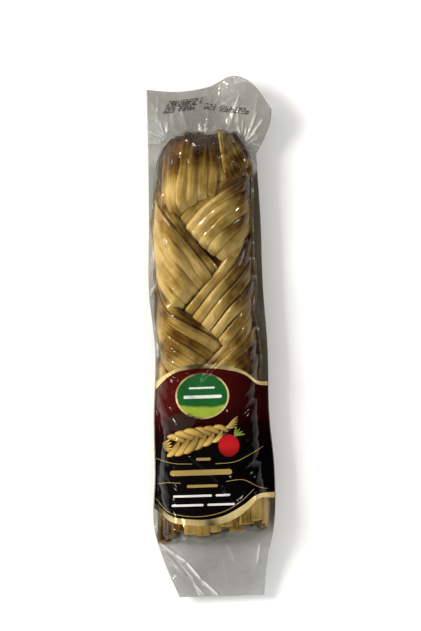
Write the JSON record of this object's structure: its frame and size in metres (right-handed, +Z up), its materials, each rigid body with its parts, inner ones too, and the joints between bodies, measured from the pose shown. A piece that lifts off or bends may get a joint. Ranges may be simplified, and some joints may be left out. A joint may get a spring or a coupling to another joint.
{
  "type": "vacuum-packed braided cheese",
  "caption": "Smoked string cheese plaited from three flat strands, shrink-wrapped in a clear pouch with side fins, a wide header flap and a tapering tail flap.",
  "frame": {"origin": "middle of the bounding box's underside, on the surface the pack lies on", "axes": "+Y along the pack towards the plait's head and the wide header flap, +X across it, +Z up out of its printed face"},
  "size_m": [0.071, 0.286, 0.03],
  "materials": {
    "smoked_cheese": "smoked cheese, pale straw to brown, glossy under the film",
    "clear_film": "clear multilayer vacuum film, glossy, faintly grey",
    "printed_film": "film printed in maroon and black with gold bands and plain shapes"
  },
  "bodies": {
    "root": {"sealed_pouch": "smoked_cheese"}
  },
  "joints": []
}
